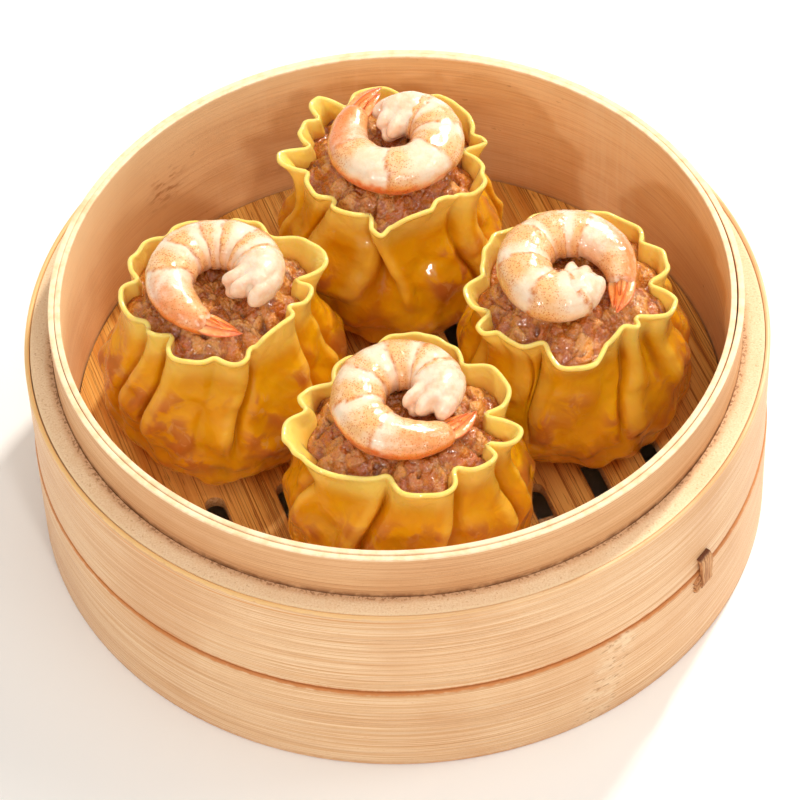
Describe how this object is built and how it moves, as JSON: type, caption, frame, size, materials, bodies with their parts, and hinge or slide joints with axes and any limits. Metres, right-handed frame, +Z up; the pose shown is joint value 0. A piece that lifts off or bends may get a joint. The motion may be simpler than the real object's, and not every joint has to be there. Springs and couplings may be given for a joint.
{
  "type": "shumai in a bamboo steamer",
  "caption": "Round bamboo steamer basket with a slotted floor, holding open-topped pleated shumai, each with minced filling and a curled shrimp on top.",
  "frame": {"origin": "centre of the basket's foot, on the surface it stands on", "axes": "+Z up along the basket's axis; -Y to the front of the picture, +X to its right"},
  "size_m": [0.1506, 0.1506, 0.0687],
  "materials": {
    "bamboo_pale": "smooth pale bamboo skin with fine grain round the hoop",
    "bamboo_warm": "warm straight-grained bamboo, matt",
    "bamboo_end_grain": "sawn bamboo end grain, speckled, matt",
    "cane": "brown fibrous cane",
    "dough": "wet translucent egg dough",
    "pork_mince": "wet granular minced pork",
    "shrimp": "wet cooked shrimp, orange speckles"
  },
  "bodies": {
    "root": {"rim_inner_strip": "bamboo_pale", "rim_outer_strip": "bamboo_pale", "shoulder_band": "bamboo_end_grain", "upper_skin_band": "bamboo_pale", "lower_band": "bamboo_pale", "floor_ledge": "bamboo_warm", "floor_board": "bamboo_warm", "floor_bar_front": "bamboo_warm", "floor_bar_back": "bamboo_warm", "cane_stitch": "cane", "wrapper_back": "dough", "filling_back": "pork_mince", "shrimp_back": "shrimp", "wrapper_left": "dough", "filling_left": "pork_mince", "shrimp_left": "shrimp", "wrapper_right": "dough", "filling_right": "pork_mince", "shrimp_right": "shrimp", "wrapper_front": "dough", "filling_front": "pork_mince", "shrimp_front": "shrimp"}
  },
  "joints": []
}
